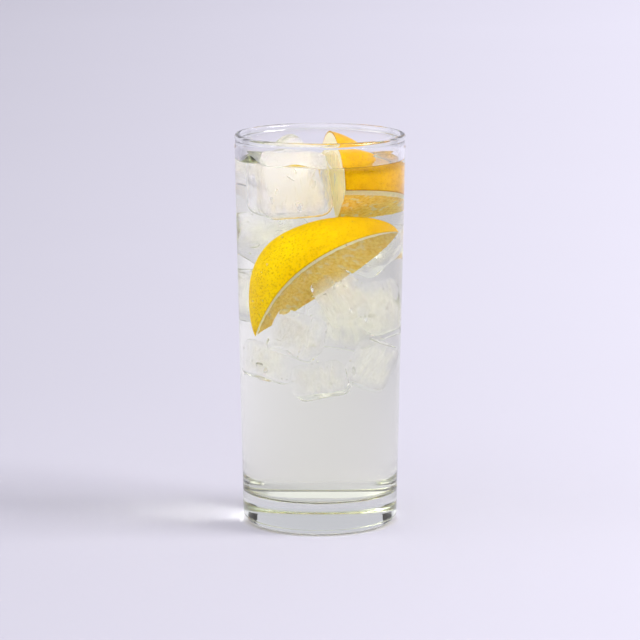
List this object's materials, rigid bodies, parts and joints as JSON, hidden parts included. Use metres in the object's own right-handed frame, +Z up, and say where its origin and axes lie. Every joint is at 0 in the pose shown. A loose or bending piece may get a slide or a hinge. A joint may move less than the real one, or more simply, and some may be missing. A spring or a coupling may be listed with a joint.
{
  "type": "glass of sparkling water with ice and lemon",
  "caption": "Tall straight highball glass with a thick base, filled with clear sparkling water, ice cubes and lemon wedges.",
  "frame": {"origin": "centre of the foot of the glass, on the surface it stands on", "axes": "+Z up along the axis of the glass; -Y is the front, where the long lemon wedge lies against the wall; +X is the viewer's right"},
  "size_m": [0.066, 0.066, 0.1525],
  "materials": {
    "glass": "clear polished soda-lime glass with a faint green edge",
    "water": "clear sparkling water with a trace of lemon juice",
    "ice": "wet ice, clear at the edges with a cloudy core",
    "lemon": "wet lemon: dimpled yellow peel, pale pith and juicy flesh"
  },
  "bodies": {
    "root": {"glass": "glass", "drink": "water", "ice_front": "ice", "ice_back": "ice", "lemon_front": "lemon", "lemon_top": "lemon"}
  },
  "joints": []
}
